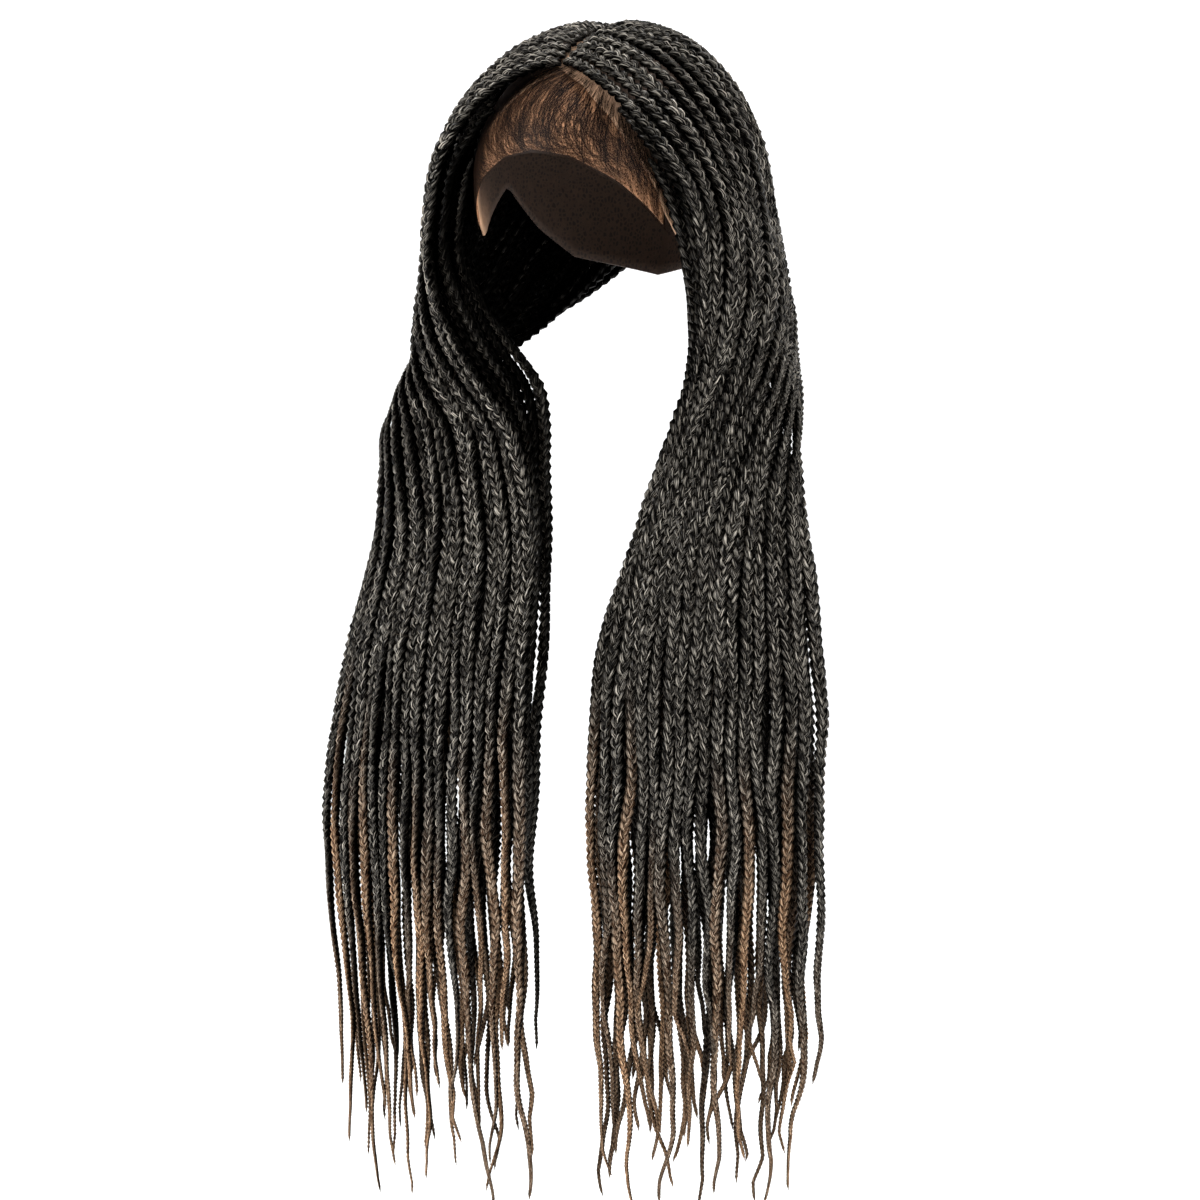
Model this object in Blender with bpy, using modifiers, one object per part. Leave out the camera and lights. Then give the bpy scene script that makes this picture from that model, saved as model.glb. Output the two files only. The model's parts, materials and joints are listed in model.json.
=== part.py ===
"""Box-braid wig with a centre part: a lace cap, a sheer front panel and braids in two front curtains.

Metres, +Z up. The face looks to -Y and the wearer's left is +X. The origin is the inside of the cap at the
crown, where it sits on the head. Every braid lock follows one sheet that runs from the part, over the cap and
down to the tips: "across" goes from the front edge (0) to the back edge (1), "height" is measured outward.
"""
import math
from collections import namedtuple

import bmesh
import bpy
import numpy as np
from mathutils import Vector

# Driving dimensions
HEAD_HALF_WIDTH = 0.079
HEAD_HALF_LENGTH = 0.098
CROWN_HEIGHT = 0.100
NAPE_DEPTH = 0.130
CROWN_SET_BACK = 0.018
CAP_THICKNESS = 0.0015
LACE_THICKNESS = 0.0010
CLEARANCE = 0.0003
LAYER_GAP = 0.0018
FACET_LIFT = 0.0009
PART_HALF_WIDTH = 0.0016
LOCK_THICKNESS = 0.0112
DROP = 0.800
SPREAD = 0.184

# Angles of the sheet, in degrees
PART_FRONT = 41.0
PART_BACK = -42.0
TEMPLE_AZIMUTH = 57.0
BACK_AZIMUTH = 176.0

SEGMENTS = 40
CAP_RINGS = 12
LACE_RINGS = 5
DOME_STEPS = 6

Edge = namedtuple("Edge", "azimuth cap lace")
# Polar angle of the cap's edge and of the sheer panel's edge, from the brow (0) round to the nape (180)
EDGES = (
    Edge(0.0, 41.0, 77.0),
    Edge(18.0, 49.0, 79.5),
    Edge(36.0, 64.0, 87.0),
    Edge(54.0, 86.0, 96.5),
    Edge(63.0, 98.0, 102.0),
    Edge(72.0, 106.0, 106.0),
    Edge(81.0, 101.0, 101.0),
    Edge(99.0, 90.0, 90.0),
    Edge(117.0, 103.0, 103.0),
    Edge(135.0, 112.0, 112.0),
    Edge(180.0, 118.0, 118.0),
)
LACE_END_AZIMUTH = 63.0

Row = namedtuple(
    "Row",
    "drop front_x front_y near_x near_y far_x far_y back_x back_y front_turn back_turn fill thick tuck",
)
# The hanging sheet's inner face at each level: drop is a share of DROP, x and y are shares of SPREAD. The
# turns, in degrees from the front, say which way the layers stack. fill is the share of its place that a
# lock fills across, thick its share of LOCK_THICKNESS. tuck, a share of SPREAD, is how far the inner layer's
# front edge is drawn back to the neck.
ROWS = (
    Row(0.190, 0.424, -0.196, 0.516, 0.000, 0.435, 0.247, 0.163, 0.505, 50.0, 165.0, 0.92, 1.00, 0.000),
    Row(0.260, 0.388, -0.040, 0.555, -0.045, 0.560, 0.118, 0.435, 0.272, 35.0, 115.0, 0.92, 1.00, 0.100),
    Row(0.295, 0.345, 0.028, 0.533, -0.033, 0.630, -0.030, 0.590, 0.100, 27.0, 93.0, 0.92, 1.00, 0.136),
    Row(0.330, 0.277, 0.076, 0.467, 0.005, 0.630, -0.050, 0.688, -0.005, 20.0, 75.0, 0.92, 1.00, 0.060),
    Row(0.370, 0.235, 0.070, 0.432, -0.022, 0.609, -0.065, 0.722, -0.003, 12.0, 63.0, 0.92, 1.00, 0.012),
    Row(0.415, 0.197, 0.036, 0.400, -0.062, 0.596, -0.080, 0.758, 0.005, 5.0, 55.0, 0.92, 1.00, 0.000),
    Row(0.525, 0.137, -0.130, 0.398, -0.204, 0.641, -0.179, 0.862, -0.065, 0.0, 50.0, 0.91, 0.98, 0.000),
    Row(0.665, 0.122, -0.222, 0.398, -0.258, 0.663, -0.234, 0.926, -0.139, 0.0, 50.0, 0.88, 0.92, 0.000),
    Row(0.815, 0.142, -0.195, 0.398, -0.247, 0.652, -0.223, 0.904, -0.130, 0.0, 50.0, 0.76, 0.80, 0.000),
    Row(1.000, 0.133, -0.215, 0.394, -0.236, 0.647, -0.217, 0.926, -0.141, 0.0, 50.0, 0.42, 0.42, 0.000),
)

Layer = namedtuple("Layer", "name count first last start sides tucked")
# Locks per side in each layer, the share of the sheet they span, the dome step where they are rooted, their
# sides, and the share of the tuck that their front edge has
LAYERS = (
    Layer("outer_lock", 9, 0.00, 1.00, 0, 8, 0.0),
    Layer("middle_lock", 8, 0.01, 0.99, 3, 6, 0.5),
    Layer("inner_lock", 6, 0.00, 0.97, 5, 6, 1.0),
)
# Direction of the tuck, in degrees from the front
TUCK_TURN = -153.0

# Tip level of each lock, as a share of DROP, front to back, for the wearer's right and left side
TIPS = {
    "outer_lock": (
        (0.985, 0.955, 0.995, 0.940, 0.975, 0.925, 0.965, 0.990, 0.950),
        (0.960, 0.990, 0.945, 0.980, 0.930, 0.970, 0.940, 0.985, 0.965),
    ),
    "middle_lock": (
        (0.950, 0.985, 0.930, 0.965, 0.940, 0.990, 0.930, 0.960),
        (0.980, 0.940, 0.970, 0.925, 0.985, 0.945, 0.975, 0.935),
    ),
    "inner_lock": (
        (0.930, 0.965, 0.915, 0.950, 0.935, 0.920),
        (0.955, 0.925, 0.945, 0.930, 0.960, 0.910),
    ),
}

# Height of the middle and of the outer layer's inner face over the cap, as shares of LOCK_THICKNESS
MIDDLE_SHARES = (0.00, 0.00, 0.00, 0.00, 0.05, 0.50, 0.98)
OUTER_SHARES = (0.00, 0.25, 0.55, 0.88, 1.22, 1.62, 1.98)
ROOT_SHARES = (0.55, 0.84, 0.93)

FIBRE_COLOUR = (0.020, 0.019, 0.016, 1.0)
UNDER_COLOUR = (0.014, 0.013, 0.011, 1.0)
CAP_COLOUR = (0.055, 0.035, 0.022, 1.0)
LACE_COLOUR = (0.42, 0.23, 0.13, 1.0)


def make_material(name, colour, roughness):
    """Return a Principled material with one colour and roughness."""
    material = bpy.data.materials.new(name)
    material.use_nodes = True
    shader = material.node_tree.nodes["Principled BSDF"]
    shader.inputs["Base Color"].default_value = colour
    shader.inputs["Roughness"].default_value = roughness
    shader.inputs["Metallic"].default_value = 0.0
    return material


def head_point(azimuth, polar, offset):
    """Return the point of the head form at two angles in radians, moved outward by offset."""
    rise = CROWN_HEIGHT if polar < math.pi / 2 else NAPE_DEPTH
    around = math.sin(polar)
    x = (HEAD_HALF_WIDTH + offset) * around * math.sin(azimuth)
    y = -(HEAD_HALF_LENGTH + offset) * around * math.cos(azimuth)
    z = (rise + offset) * math.cos(polar) - CROWN_HEIGHT
    y += CROWN_SET_BACK * max(0.0, math.cos(polar)) ** 2
    return Vector((x, y, z))


def edge_angle(azimuth, column):
    """Return the polar angle of an edge of the EDGES table at an azimuth, both in radians."""
    turn = abs(math.degrees(azimuth))
    angles = [edge.azimuth for edge in EDGES]
    values = [getattr(edge, column) for edge in EDGES]
    return math.radians(float(np.interp(turn, angles, values)))


def add_object(name, mesh, material, collection):
    """Link a smooth-shaded object that carries the mesh and its material."""
    mesh.materials.append(material)
    mesh.shade_smooth()
    item = bpy.data.objects.new(name, mesh)
    collection.objects.link(item)
    return item


def add_shell(item, thickness):
    """Give an open surface its wall, built outward."""
    shell = item.modifiers.new("wall", "SOLIDIFY")
    shell.thickness = thickness
    shell.offset = 1.0
    return shell


def make_cap(material, collection):
    """Shape a sphere's upper half into the cap, from the crown to its edge, and give it a wall."""
    form = bmesh.new()
    bmesh.ops.create_uvsphere(form, u_segments=SEGMENTS, v_segments=2 * CAP_RINGS, radius=1.0)
    lower = [vert for vert in form.verts if vert.co.z < -0.001]
    bmesh.ops.delete(form, geom=lower, context="VERTS")
    for vert in form.verts:
        share = math.acos(max(-1.0, min(1.0, vert.co.z))) / (math.pi / 2)
        azimuth = math.atan2(vert.co.x, -vert.co.y)
        vert.co = head_point(azimuth, share * edge_angle(azimuth, "cap"), 0.0)
    bmesh.ops.recalc_face_normals(form, faces=form.faces)
    mesh = bpy.data.meshes.new("lace_cap")
    form.to_mesh(mesh)
    form.free()
    item = add_object("lace_cap", mesh, material, collection)
    add_shell(item, CAP_THICKNESS)
    return item


def make_lace_front(material, collection):
    """Lay a grid on the brow, from just below the cap's edge to the panel's own edge."""
    columns = round(2 * LACE_END_AZIMUTH / 360 * SEGMENTS)
    form = bmesh.new()
    bmesh.ops.create_grid(form, x_segments=columns, y_segments=LACE_RINGS, size=1.0)
    for vert in form.verts:
        azimuth = math.radians(vert.co.x * LACE_END_AZIMUTH)
        share = (1.0 - vert.co.y) / 2
        upper = edge_angle(azimuth, "cap") + 2.4 * CLEARANCE / CROWN_HEIGHT
        lower = edge_angle(azimuth, "lace")
        vert.co = head_point(azimuth, upper + share * (lower - upper), 0.0)
    bmesh.ops.recalc_face_normals(form, faces=form.faces)
    form.normal_update()
    if sum(face.normal.y for face in form.faces) > 0:
        bmesh.ops.reverse_faces(form, faces=form.faces)
    mesh = bpy.data.meshes.new("lace_front")
    form.to_mesh(mesh)
    form.free()
    item = add_object("lace_front", mesh, material, collection)
    add_shell(item, LACE_THICKNESS)
    return item


def dome_point(across, share):
    """Return the sheet's inner face on the cap, a share of the way down to the head's widest level."""
    slope = math.radians(PART_FRONT + across * (PART_BACK - PART_FRONT))
    turn = math.radians(TEMPLE_AZIMUTH + across * (BACK_AZIMUTH - TEMPLE_AZIMUTH))
    start = Vector((0.0, -math.sin(slope), math.cos(slope)))
    end = Vector((math.sin(turn), -math.cos(turn), 0.0))
    direction = start.slerp(end, share)
    polar = math.acos(max(-1.0, min(1.0, direction.z)))
    azimuth = math.atan2(direction.x, -direction.y)
    return head_point(azimuth, polar, CAP_THICKNESS)


def hanging_point(across, row):
    """Return the sheet's inner face below the head: a cubic through the row's four points."""
    weights = []
    knots = (0.0, 1 / 3, 2 / 3, 1.0)
    for knot in knots:
        others = [other for other in knots if other != knot]
        weights.append(math.prod((across - other) / (knot - other) for other in others))
    xs = (row.front_x, row.near_x, row.far_x, row.back_x)
    ys = (row.front_y, row.near_y, row.far_y, row.back_y)
    x = sum(weight * value for weight, value in zip(weights, xs)) * SPREAD
    y = sum(weight * value for weight, value in zip(weights, ys)) * SPREAD
    return Vector((x, y, -row.drop * DROP))


def sheet_point(across, step):
    """Return the sheet's inner face at a step: dome steps first, then one step for each hanging row."""
    if step <= DOME_STEPS:
        quarter = math.pi / 2 * HEAD_HALF_WIDTH
        first = PART_HALF_WIDTH / quarter
        return dome_point(across, first + (1.0 - first) * step / DOME_STEPS)
    return hanging_point(across, ROWS[step - DOME_STEPS - 1])


def stack_direction(across, step):
    """Return the direction in which the layers stack: off the cap, then as the hanging rows turn it."""
    if step > DOME_STEPS:
        row = ROWS[step - DOME_STEPS - 1]
        turn = math.radians(row.front_turn + across * (row.back_turn - row.front_turn))
        return Vector((math.sin(turn), -math.cos(turn), 0.0))
    along = sheet_point(across, min(step + 1, DOME_STEPS)) - sheet_point(across, max(step - 1, 0))
    sideways = sheet_point(across + 0.01, step) - sheet_point(across - 0.01, step)
    return along.cross(sideways).normalized()


def tuck_shift(layer, across, step):
    """Return how far a tucked layer is drawn back at a place of the sheet: most at its front edge."""
    if step <= DOME_STEPS:
        return Vector((0.0, 0.0, 0.0))
    reach = layer.tucked * ROWS[step - DOME_STEPS - 1].tuck * SPREAD * (1.0 - across) ** 2
    turn = math.radians(TUCK_TURN)
    return Vector((math.sin(turn), -math.cos(turn), 0.0)) * reach


def layer_faces(layer, step):
    """Return the heights of a layer's inner and outer face at a step."""
    index = min(step, DOME_STEPS)
    row = ROWS[max(step - DOME_STEPS - 1, 0)]
    thick = LOCK_THICKNESS * (row.thick if step > DOME_STEPS else 1.0)
    lift = FACET_LIFT + CLEARANCE
    outer = lift + OUTER_SHARES[index] * thick
    middle = lift + MIDDLE_SHARES[index] * thick
    if layer.name == "outer_lock":
        return outer, outer + thick
    if layer.name == "middle_lock":
        return middle, outer - LAYER_GAP
    return lift, middle - LAYER_GAP


def lock_fill(layer, step):
    """Return the share of its place that a lock fills across at a step."""
    if step > DOME_STEPS:
        return ROWS[step - DOME_STEPS - 1].fill
    return ROOT_SHARES[min(step - layer.start, len(ROOT_SHARES) - 1)]


def section_ring(layer, index, step, side):
    """Return one cross-section of a lock: a rounded polygon in its place of the sheet."""
    width = (layer.last - layer.first) / layer.count
    centre = layer.first + (index + 0.5) * width
    half = width / 2 * lock_fill(layer, step)
    inner, outer = layer_faces(layer, step)
    turns = [math.tau * (corner + 0.5) / layer.sides for corner in range(layer.sides)]
    reach = max(math.cos(turn) for turn in turns)
    rise = max(math.sin(turn) for turn in turns)
    ring = []
    for turn in turns:
        across = centre + half * math.cos(turn) / reach
        height = inner + (outer - inner) * (0.5 + 0.5 * math.sin(turn) / rise)
        point = sheet_point(across, step) + stack_direction(across, step) * height
        point += tuck_shift(layer, across, step)
        ring.append(Vector((point.x * side, point.y, point.z)))
    return ring


def make_lock(layer, index, side, material, collection):
    """Loft one lock through its cross-sections, root to tip, and close both ends."""
    last = DOME_STEPS + len(ROWS)
    rings = [section_ring(layer, index, step, side) for step in range(layer.start, last + 1)]
    tip = TIPS[layer.name][0 if side < 0 else 1][index]
    upper = ROWS[-2].drop
    share = (tip - upper) / (ROWS[-1].drop - upper)
    rings[-1] = [above.lerp(below, share) for above, below in zip(rings[-2], rings[-1])]
    form = bmesh.new()
    loops = [[form.verts.new(point) for point in ring] for ring in rings]
    for above, below in zip(loops[:-1], loops[1:]):
        for corner in range(layer.sides):
            after = (corner + 1) % layer.sides
            form.faces.new((above[corner], above[after], below[after], below[corner]))
    form.faces.new(loops[0])
    form.faces.new(loops[-1])
    bmesh.ops.recalc_face_normals(form, faces=form.faces)
    bmesh.ops.triangulate(form, faces=form.faces)
    name = f"{layer.name}_{'left' if side > 0 else 'right'}_{index + 1}"
    mesh = bpy.data.meshes.new(name)
    form.to_mesh(mesh)
    form.free()
    return add_object(name, mesh, material, collection)


def main():
    """Build the wig from its cap outward."""
    for item in list(bpy.data.objects):
        bpy.data.objects.remove(item, do_unlink=True)
    parts = bpy.data.collections.new("Braid_wig")
    bpy.context.scene.collection.children.link(parts)
    fibre = make_material("braided_fibre", FIBRE_COLOUR, 0.55)
    under = make_material("under_fibre", UNDER_COLOUR, 0.60)
    net = make_material("cap_net", CAP_COLOUR, 0.85)
    lace = make_material("sheer_lace", LACE_COLOUR, 0.80)
    make_cap(net, parts)
    make_lace_front(lace, parts)
    for layer in LAYERS:
        for index in range(layer.count):
            for side in (-1.0, 1.0):
                material = fibre if layer.name == "outer_lock" else under
                make_lock(layer, index, side, material, parts)


main()
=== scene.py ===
"""Box-braid wig in its material detail: plaited fibre, lace net and single hairs.

Each braid is plaited from three strands inside the place that its solid lock holds in the frame. The cap and
the front panel are lace nets, and the hairline, the part and the stray fibres are single hairs. Metres, +Z up,
the front looks to -Y.
"""
from __future__ import annotations

import json
import logging
import math
from dataclasses import dataclass
from enum import Enum

import bpy
import numpy as np
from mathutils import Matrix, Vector

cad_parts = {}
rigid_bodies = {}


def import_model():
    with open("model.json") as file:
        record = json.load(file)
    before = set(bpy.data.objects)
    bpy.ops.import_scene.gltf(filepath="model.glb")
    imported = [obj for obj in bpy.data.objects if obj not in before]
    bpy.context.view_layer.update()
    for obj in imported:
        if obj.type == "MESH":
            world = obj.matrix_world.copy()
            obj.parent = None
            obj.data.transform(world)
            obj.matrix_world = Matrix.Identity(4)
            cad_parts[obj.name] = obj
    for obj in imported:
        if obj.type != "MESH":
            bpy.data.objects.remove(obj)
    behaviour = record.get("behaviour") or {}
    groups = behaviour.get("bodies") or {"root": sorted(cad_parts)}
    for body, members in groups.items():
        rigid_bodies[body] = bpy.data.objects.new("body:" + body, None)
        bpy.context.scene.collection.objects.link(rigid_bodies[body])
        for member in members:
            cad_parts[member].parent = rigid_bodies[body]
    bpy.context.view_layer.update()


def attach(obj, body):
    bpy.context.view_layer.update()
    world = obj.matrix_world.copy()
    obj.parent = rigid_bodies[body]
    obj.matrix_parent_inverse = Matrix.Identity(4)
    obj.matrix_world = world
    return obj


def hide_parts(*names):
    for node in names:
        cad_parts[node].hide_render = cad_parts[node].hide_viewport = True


LOG = logging.getLogger("braid_wig")
MM = 0.001
SEED = 36


# Numbers and colours


def linear(code: str, alpha: float = 1.0) -> tuple[float, float, float, float]:
    """Turn an sRGB hex colour into linear values.

    Args:
        code: the colour as six hex digits after a hash sign.
        alpha: the fourth value.

    Returns:
        Red, green, blue and alpha in linear light.
    """
    channels = [int(code[place:place + 2], 16) / 255 for place in (1, 3, 5)]
    curved = [c / 12.92 if c <= 0.04045 else ((c + 0.055) / 1.055) ** 2.4 for c in channels]
    return (*curved, alpha)


def smooth(low: float, high: float, value: np.ndarray) -> np.ndarray:
    """Return a smooth step.

    Args:
        low: the value at which the step begins.
        high: the value at which it ends. It may lie below low.
        value: where the step is read.

    Returns:
        0 at low, 1 at high and an even curve between.
    """
    share = np.clip((value - low) / (high - low), 0.0, 1.0)
    return share * share * (3.0 - 2.0 * share)


def unit(vectors: np.ndarray) -> np.ndarray:
    """Return the vectors of the last axis at length one."""
    return vectors / np.maximum(np.linalg.norm(vectors, axis=-1, keepdims=True), 1e-12)


# Node materials


def add_node(
    tree: bpy.types.NodeTree, kind: str, settings: dict, inputs: dict, stops: tuple = (),
) -> bpy.types.Node:
    """Add one shader node.

    Args:
        tree: the material's node tree.
        kind: the node's type name.
        settings: the node's own options, by name.
        inputs: a value or an output socket for each input, by its name or index.
        stops: for a colour ramp, a place from 0 to 1 and an sRGB hex colour for each stop.

    Returns:
        The new node.
    """
    node = tree.nodes.new(kind)
    for name, value in settings.items():
        setattr(node, name, value)
    for key, value in inputs.items():
        if isinstance(value, bpy.types.NodeSocket):
            tree.links.new(value, node.inputs[key])
        else:
            node.inputs[key].default_value = value
    for number, (place, colour) in enumerate(stops):
        elements = node.color_ramp.elements
        element = elements[number] if number < len(elements) else elements.new(place)
        element.position = place
        element.color = linear(colour)
    return node


def new_tree(name: str) -> tuple[bpy.types.Material, bpy.types.NodeTree, bpy.types.Node]:
    """Start a material.

    Args:
        name: the material's name.

    Returns:
        The material, its node tree and its Principled shader.
    """
    material = bpy.data.materials.new(name)
    material.use_nodes = True
    tree = material.node_tree
    return material, tree, tree.nodes["Principled BSDF"]


class Mark(Enum):
    """Names of the values that the meshes carry for their materials."""

    FIBRE = "fibre"
    # Tone and painted shade: each braid's own tone times the shade painted into the plait's grooves and strand
    # sides.
    TONE_AND_PAINTED_SHADE = "shade"
    FADE = "fade"


@dataclass(frozen=True)
class BraidedFibre:
    """Modacrylic fibre, braided: the eye sees dull black strands with fine pale glints, painted highlights,
    along them.

    A tuft of hairs is drawn hair_width wide, many times as coarse as one real fibre, so that it can be seen. Its
    pattern goes through the deep, body and light colours where the strand is black, and from body to tip where
    it is dyed. The light colour is painted highlight, the glints of single fibres. Stops are places in that
    pattern.
    """

    name: str
    deep: str = "#060504"
    body: str = "#1c1916"
    # Light paints pale glints on the black fibre: painted highlight. Tip is partly the dye's pale fibres and
    # partly painted highlight.
    light: str = "#d6cdbe"
    brown: str = "#774c2f"
    tip: str = "#ffd3a6"
    black_stops: tuple = (0.42, 0.53, 0.68)
    dyed_stops: tuple = (0.40, 0.48, 0.61)
    roughness: float = 0.38
    dull: float = 0.03
    gloss: float = 0.6
    gloss_stops: tuple = (0.45, 0.62)
    hair_length: float = 7.0 * MM
    hair_width: float = 0.65 * MM
    strand_radius: float = 2.73 * MM
    relief: float = 0.4 * MM
    relief_strength: float = 0.45

    def build(self) -> bpy.types.Material:
        """Build the material: its pattern runs along each strand, and painted shade for the plait's grooves
        darkens its colour and gloss.

        Returns:
            The material.
        """
        material, tree, shader = new_tree(self.name)
        place = add_node(tree, "ShaderNodeAttribute", {"attribute_name": Mark.FIBRE.value}, {})
        shade = add_node(tree, "ShaderNodeAttribute", {"attribute_name": Mark.TONE_AND_PAINTED_SHADE.value}, {})
        fade = add_node(tree, "ShaderNodeAttribute", {"attribute_name": Mark.FADE.value}, {})
        hairs_round = self.strand_radius / self.hair_width
        stretch = (1.0 / self.hair_length, hairs_round, hairs_round)
        along = add_node(tree, "ShaderNodeMapping", {}, {"Vector": place.outputs["Vector"], "Scale": stretch})
        hairs = add_node(
            tree, "ShaderNodeTexNoise", {},
            {"Vector": along.outputs[0], "Scale": 1.0, "Detail": 2.0, "Roughness": 0.6},
        ).outputs[0]
        # The top stop of each ramp paints the fibres' glints: painted highlight over the fibre's own dark and
        # dyed tones.
        black, warm = (
            add_node(tree, "ShaderNodeValToRGB", {}, {"Fac": hairs}, tuple(zip(places, colours))).outputs[0]
            for places, colours in (
                (self.black_stops, (self.deep, self.body, self.light)),
                (self.dyed_stops, (self.body, self.brown, self.tip)),
            )
        )
        dyed = add_node(
            tree, "ShaderNodeMix", {"data_type": "RGBA"}, {0: fade.outputs["Fac"], 6: black, 7: warm},
        )
        # Painted shade: the colour is multiplied by the shade painted on the mesh for the plait's grooves and
        # strand sides.
        shaded = add_node(
            tree, "ShaderNodeMix", {"data_type": "RGBA", "blend_type": "MULTIPLY"},
            {0: 1.0, 6: dyed.outputs[2], 7: shade.outputs["Color"]},
        )
        shiny = add_node(
            tree, "ShaderNodeMapRange", {},
            {0: hairs, 1: self.gloss_stops[0], 2: self.gloss_stops[1], 3: self.dull, 4: self.gloss},
        )
        # Painted shade: the gloss is cut by the same painted groove shade, so the grooves lose their reflection.
        gloss = add_node(
            tree, "ShaderNodeMath", {"operation": "MULTIPLY"}, {0: shiny.outputs[0], 1: shade.outputs["Fac"]},
        )
        bump = add_node(
            tree, "ShaderNodeBump", {},
            {"Strength": self.relief_strength, "Distance": self.relief, "Height": hairs},
        )
        tree.links.new(shaded.outputs[2], shader.inputs["Base Color"])
        tree.links.new(gloss.outputs[0], shader.inputs["Specular IOR Level"])
        tree.links.new(bump.outputs[0], shader.inputs["Normal"])
        shader.inputs["Roughness"].default_value = self.roughness
        return material


@dataclass(frozen=True)
class SingleHair:
    """Single dyed fibres, drawn and laid flat: the eye sees thin dark lines with little gloss.

    Each hair has one seat in the pattern of variety, so that it differs as a whole from its neighbours.
    """

    name: str
    root: str = "#0e0805"
    end: str = "#2a1a10"
    stops: tuple = (0.35, 0.9615)
    variety: float = 3.0
    variety_share: float = 0.7
    roughness: float = 0.55
    gloss: float = 0.12

    def build(self) -> bpy.types.Material:
        """Build the material: it turns from the root's colour to the end's, and varies from hair to hair.

        Returns:
            The material.
        """
        material, tree, shader = new_tree(self.name)
        place = add_node(tree, "ShaderNodeAttribute", {"attribute_name": Mark.FIBRE.value}, {})
        fade = add_node(tree, "ShaderNodeAttribute", {"attribute_name": Mark.FADE.value}, {})
        grain = add_node(
            tree, "ShaderNodeTexNoise", {},
            {"Vector": place.outputs["Vector"], "Scale": self.variety, "Detail": 2.0},
        )
        mixed = add_node(
            tree, "ShaderNodeMath", {"operation": "MULTIPLY_ADD"},
            {0: grain.outputs[0], 1: self.variety_share, 2: fade.outputs["Fac"]},
        )
        stops = tuple(zip(self.stops, (self.root, self.end)))
        colour = add_node(tree, "ShaderNodeValToRGB", {}, {"Fac": mixed.outputs[0]}, stops)
        tree.links.new(colour.outputs[0], shader.inputs["Base Color"])
        shader.inputs["Roughness"].default_value = self.roughness
        shader.inputs["Specular IOR Level"].default_value = self.gloss
        return material


@dataclass(frozen=True)
class LaceNet:
    """Knitted lace net, hand-knotted: the eye sees a sheer even mesh of fine thread.

    The mesh is drawn about twice as coarse as real lace, so that it can be seen. Pitch is the spacing of its
    threads, slub the spacing of thicker places in them, and cover how much of a hole the net hides.
    """

    name: str
    thread: str
    hole: str
    pitch: float
    cover: float
    parting: str = ""
    uneven: float = 0.7
    slub: float = 7.143 * MM
    slub_tone: tuple[float, float] = (0.6, 0.7)
    thread_edge: tuple[float, float] = (0.10, 0.28)
    hole_edge: tuple[float, float] = (0.12, 0.30)
    relief: float = 0.3 * MM
    relief_strength: float = 0.5
    roughness: float = 0.8

    def build(self) -> bpy.types.Material:
        """Build the net: its threads stand up, its tone varies a little, and its holes may be open.

        Returns:
            The material.
        """
        material, tree, shader = new_tree(self.name)
        place = add_node(tree, "ShaderNodeAttribute", {"attribute_name": Mark.FIBRE.value}, {})
        distance = add_node(
            tree, "ShaderNodeTexVoronoi", {"feature": "DISTANCE_TO_EDGE"},
            {"Vector": place.outputs["Vector"], "Scale": 1.0 / self.pitch, "Randomness": self.uneven},
        ).outputs["Distance"]
        slub = add_node(
            tree, "ShaderNodeTexNoise", {},
            {"Vector": place.outputs["Vector"], "Scale": 1.0 / self.slub, "Detail": 3.0},
        )
        stops = tuple(zip(self.thread_edge, (self.thread, self.hole)))
        colour = add_node(tree, "ShaderNodeValToRGB", {}, {"Fac": distance}, stops).outputs[0]
        if self.parting:
            fade = add_node(tree, "ShaderNodeAttribute", {"attribute_name": Mark.FADE.value}, {})
            colour = add_node(
                tree, "ShaderNodeMix", {"data_type": "RGBA"},
                {0: fade.outputs["Fac"], 6: colour, 7: linear(self.parting)},
            ).outputs[2]
        tone = add_node(
            tree, "ShaderNodeMath", {"operation": "MULTIPLY_ADD"},
            {0: slub.outputs[0], 1: self.slub_tone[0], 2: self.slub_tone[1]},
        )
        worn = add_node(tree, "ShaderNodeHueSaturation", {}, {"Color": colour, "Value": tone.outputs[0]})
        bump = add_node(
            tree, "ShaderNodeBump", {"invert": True},
            {"Strength": self.relief_strength, "Distance": self.relief, "Height": distance},
        )
        tree.links.new(worn.outputs[0], shader.inputs["Base Color"])
        tree.links.new(bump.outputs[0], shader.inputs["Normal"])
        shader.inputs["Roughness"].default_value = self.roughness
        if self.cover < 1.0:
            open_net = add_node(
                tree, "ShaderNodeMapRange", {},
                {0: distance, 1: self.hole_edge[0], 2: self.hole_edge[1], 3: 1.0, 4: self.cover},
            )
            tree.links.new(open_net.outputs[0], shader.inputs["Alpha"])
        return material


@dataclass(frozen=True)
class StudioPaper:
    """Matt backdrop paper, rolled: the eye sees an even pale sheet.

    The paper's grain is too fine to show. Patch is the width of the mottle in a roll of this width, in metres.
    """

    name: str = "backdrop_paper_matt"
    tone: str = "#fbfbfb"
    low_tone: str = "#f4f4f4"
    white: str = "#ffffff"
    roll: float = 22.0
    patch: float = 3.6667
    roughness: float = 0.95
    glow: float = 0.62

    def build(self) -> bpy.types.Material:
        """Build the paper with a faint mottle and an even glow, as from light all round it.

        Returns:
            The material.
        """
        material, tree, shader = new_tree(self.name)
        mottle = add_node(tree, "ShaderNodeTexNoise", {}, {"Scale": self.roll / self.patch, "Detail": 2.0})
        tint = add_node(
            tree, "ShaderNodeValToRGB", {}, {"Fac": mottle.outputs[0]}, ((0.0, self.low_tone), (1.0, self.tone)),
        )
        tree.links.new(tint.outputs[0], shader.inputs["Base Color"])
        shader.inputs["Roughness"].default_value = self.roughness
        shader.inputs["Emission Color"].default_value = linear(self.white)
        shader.inputs["Emission Strength"].default_value = self.glow
        return material


# Meshes


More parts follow.
